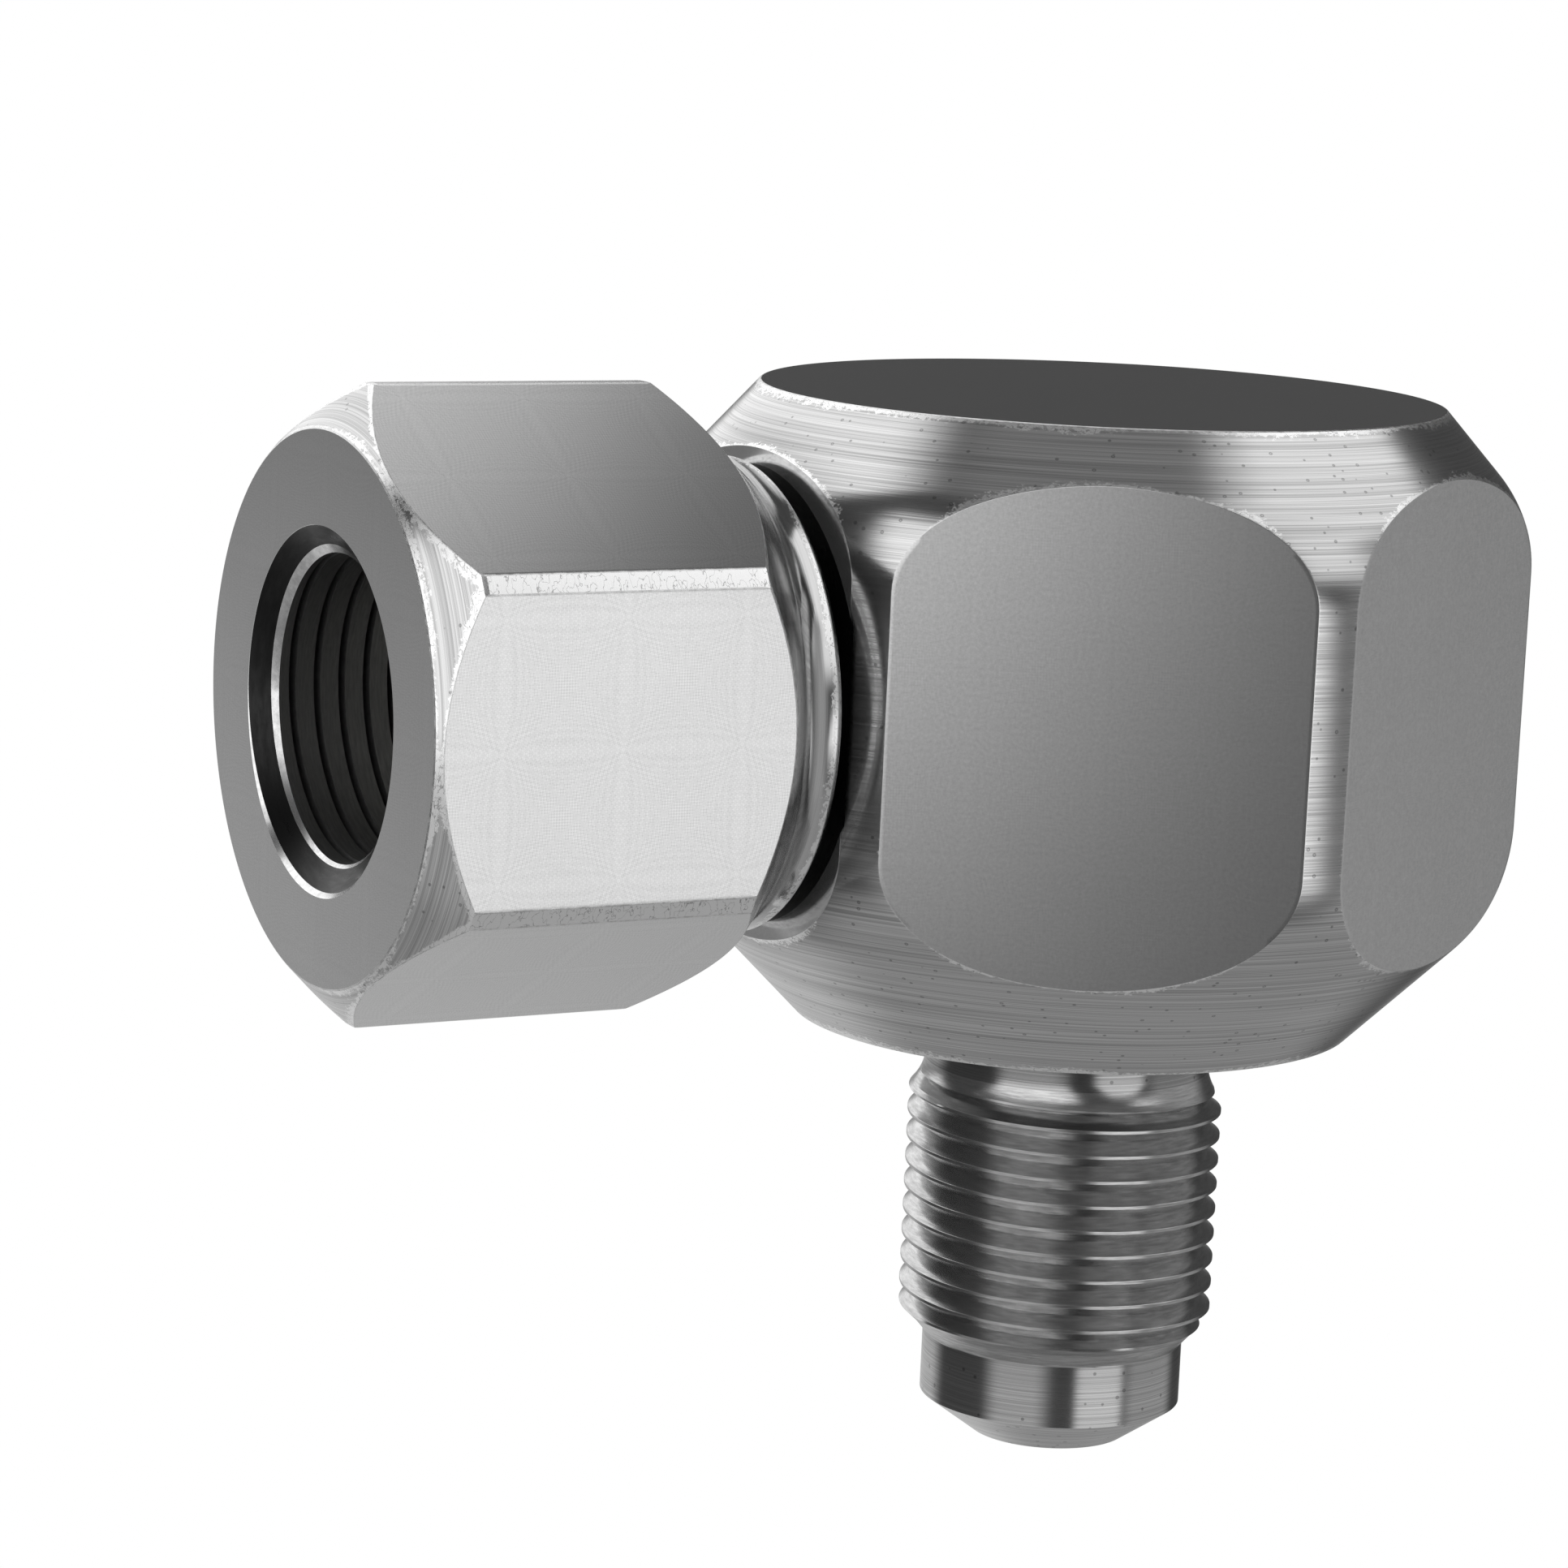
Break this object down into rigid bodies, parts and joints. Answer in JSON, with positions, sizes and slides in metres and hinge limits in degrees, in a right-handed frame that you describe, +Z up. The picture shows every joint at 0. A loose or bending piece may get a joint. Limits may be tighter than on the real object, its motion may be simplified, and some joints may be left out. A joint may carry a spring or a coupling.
{
  "type": "swivel adapter",
  "caption": "Right-angle steel pipe adapter: a hex body with a threaded male stud below and a freely turning female hex nut on its side.",
  "frame": {"origin": "centre of the body's shoulder face, on the stud's axis", "axes": "+Z up along the stud's axis into the body, -X along the swivel's axis out of the nut's mouth, -Y towards the viewer"},
  "size_m": [0.0639, 0.0454, 0.0565],
  "materials": {
    "body_steel": "turned cones with fine lathe lines, satin milled flats",
    "nut_steel": "satin milled flats, polished hub",
    "inner_steel": "ground",
    "ball_steel": "polished",
    "cage_brass": "turned",
    "seal_rubber": "matte",
    "seal_plastic": "matte"
  },
  "bodies": {
    "housing": {"body": "body_steel", "gland_ring": "inner_steel", "lock_pin": "inner_steel", "dust_seal": "seal_rubber", "guide_bush": "cage_brass", "outer_race": "inner_steel", "inner_race": "inner_steel"},
    "nut": {"swivel_nut": "nut_steel", "thrust_ring": "inner_steel", "retaining_ring": "inner_steel", "pressure_oring": "seal_rubber", "backup_ring_outer": "seal_plastic", "backup_ring_inner": "seal_plastic", "port_gasket": "seal_plastic"},
    "outer_row": {"outer_balls": "ball_steel", "outer_cage": "cage_brass"},
    "inner_row": {"inner_balls": "ball_steel", "inner_cage": "cage_brass"}
  },
  "joints": [
    {"name": "nut_swivel", "type": "hinge", "parent": "housing", "child": "nut", "pos_m": [-0.02115, 0, 0.0178], "axis": [-1, 0, 0], "continuous": true},
    {"name": "outer_row_orbit", "type": "hinge", "parent": "housing", "child": "outer_row", "pos_m": [-0.0132, 0, 0.0178], "axis": [-1, 0, 0], "continuous": true},
    {"name": "inner_row_orbit", "type": "hinge", "parent": "housing", "child": "inner_row", "pos_m": [-0.0102, 0, 0.0178], "axis": [-1, 0, 0], "continuous": true}
  ],
  "couplings": [
    {"joint": "outer_row_orbit", "follows": "nut_swivel", "ratio": 0.5},
    {"joint": "inner_row_orbit", "follows": "nut_swivel", "ratio": 0.5}
  ]
}
